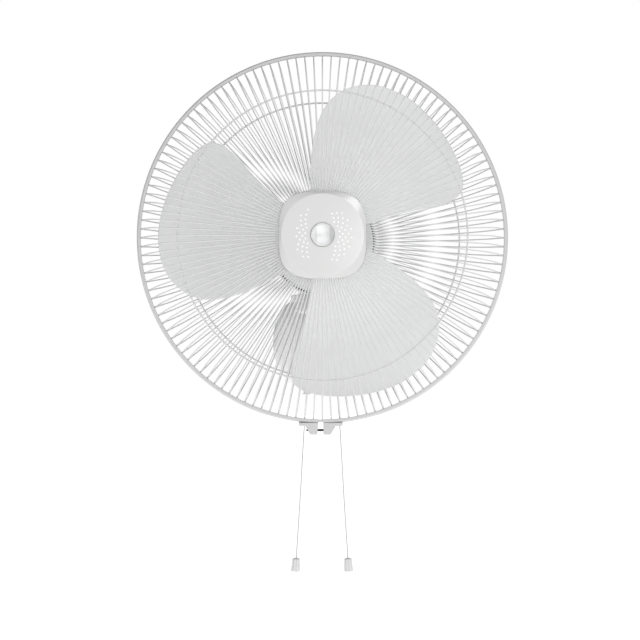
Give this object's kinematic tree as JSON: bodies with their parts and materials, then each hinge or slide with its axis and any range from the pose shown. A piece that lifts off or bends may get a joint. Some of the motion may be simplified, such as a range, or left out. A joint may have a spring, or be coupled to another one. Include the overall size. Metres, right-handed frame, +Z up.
{
  "type": "wall mounted fan",
  "caption": "Wall mounted fan with a round wire guard, paddle blades, tilting and swinging head, and pull cords below a round wall base.",
  "frame": {"origin": "centre of the wall plate's back face, where it lies on the wall", "axes": "+Y into the wall, -Y into the room, +Z up, +X to the right as seen from the room"},
  "size_m": [0.449, 0.3113, 0.6705],
  "materials": {
    "gloss_white": "moulded white plastic, semi-gloss",
    "satin_white": "moulded white plastic, satin",
    "wire_coat": "white powder-coated steel wire",
    "blade_plastic": "pale grey moulded plastic, gloss",
    "badge_silver": "bright silver, dished, bare",
    "steel": "zinc-plated steel",
    "zinc_plate": "pressed zinc-plated steel sheet",
    "die_cast": "die-cast aluminium",
    "lamination_steel": "stacked steel laminations",
    "copper_winding": "enamelled copper wire",
    "brass": "sintered bronze and brass",
    "black_plastic": "moulded black plastic",
    "grey_plastic": "grey moulded case",
    "board_green": "green laminate board",
    "smoked_lens": "smoked clear plastic",
    "dark_steel": "black-oxide steel",
    "cord_white": "braided white cord"
  },
  "bodies": {
    "wall_base": {"wall_plate": "zinc_plate", "base_rear_shell": "satin_white", "base_front_cover": "gloss_white", "base_cover_screw_1": "steel", "base_cover_screw_2": "steel", "base_cover_screw_3": "steel", "control_board": "board_green", "speed_switch": "black_plastic", "swing_switch": "black_plastic", "motor_capacitor": "grey_plastic", "terminal_block": "satin_white", "receiver_window": "smoked_lens", "cord_grommet_left": "satin_white", "cord_grommet_right": "satin_white", "power_gland": "black_plastic", "arm_bracket": "gloss_white", "arm_screw_upper": "steel", "arm_screw_lower": "steel", "tilt_bolt": "steel", "tilt_knob": "satin_white"},
    "tilt_neck": {"neck_bowl": "gloss_white", "swing_bush": "brass", "swing_motor": "zinc_plate"},
    "swing_crank": {"crank_arm": "brass"},
    "link_bar": {"swing_link": "steel"},
    "swing_head": {"swing_post": "steel", "head_saddle": "gloss_white", "motor_rear_housing": "gloss_white", "motor_front_plate": "die_cast", "motor_rear_bracket": "die_cast", "stator_core": "lamination_steel", "winding_front": "copper_winding", "winding_rear": "copper_winding", "front_bearing": "brass", "rear_bearing": "brass", "motor_bolt_1": "steel", "motor_bolt_2": "steel", "motor_bolt_3": "steel", "rear_grille": "wire_coat", "rear_grille_nut": "black_plastic", "front_grille": "wire_coat", "hub_cover": "gloss_white", "badge_disc": "badge_silver", "rim_band": "gloss_white", "clamp_screw": "dark_steel", "clamp_nut": "steel"},
    "fan_rotor": {"motor_shaft": "steel", "rotor_core": "die_cast", "drive_pin": "steel", "blade_set": "blade_plastic", "blade_nut": "satin_white"},
    "speed_pull": {"speed_pull_eye": "steel", "speed_pull_cord": "cord_white", "speed_pull_knob": "satin_white"},
    "swing_pull": {"swing_pull_eye": "steel", "swing_pull_cord": "cord_white", "swing_pull_knob": "satin_white"}
  },
  "joints": [
    {"name": "head_tilt", "type": "hinge", "parent": "wall_base", "child": "tilt_neck", "pos_m": [0, -0.108, 0.022], "axis": [1, 0, 0], "range_deg": [-10, 30]},
    {"name": "head_swing", "type": "hinge", "parent": "tilt_neck", "child": "swing_head", "pos_m": [0, -0.112, 0.058], "axis": [0, 0, 1], "range_deg": [-40, 40]},
    {"name": "blade_spin", "type": "hinge", "parent": "swing_head", "child": "fan_rotor", "pos_m": [0, -0.252, 0.131], "axis": [0, 1, 0], "continuous": true},
    {"name": "crank_turn", "type": "hinge", "parent": "tilt_neck", "child": "swing_crank", "pos_m": [0.0056, -0.131, 0.0575], "axis": [0, 0, 1], "range_deg": [-60, 60]},
    {"name": "link_turn", "type": "hinge", "parent": "swing_crank", "child": "link_bar", "pos_m": [0.0182, -0.131, 0.0596], "axis": [0, 0, 1], "range_deg": [-60, 60]},
    {"name": "speed_pull_travel", "type": "slide", "parent": "wall_base", "child": "speed_pull", "axis": [-0.0619, 0, -0.9981], "range_m": [0, 0.01], "stiffness_N_per_m": 200, "springref_m": -0.003},
    {"name": "swing_pull_travel", "type": "slide", "parent": "wall_base", "child": "swing_pull", "axis": [0.0619, 0, -0.9981], "range_m": [0, 0.01], "stiffness_N_per_m": 200, "springref_m": -0.003}
  ],
  "couplings": [
    {"joint": "crank_turn", "follows": "head_swing", "ratio": 1.5},
    {"joint": "link_turn", "follows": "head_swing", "ratio": -1.5}
  ]
}
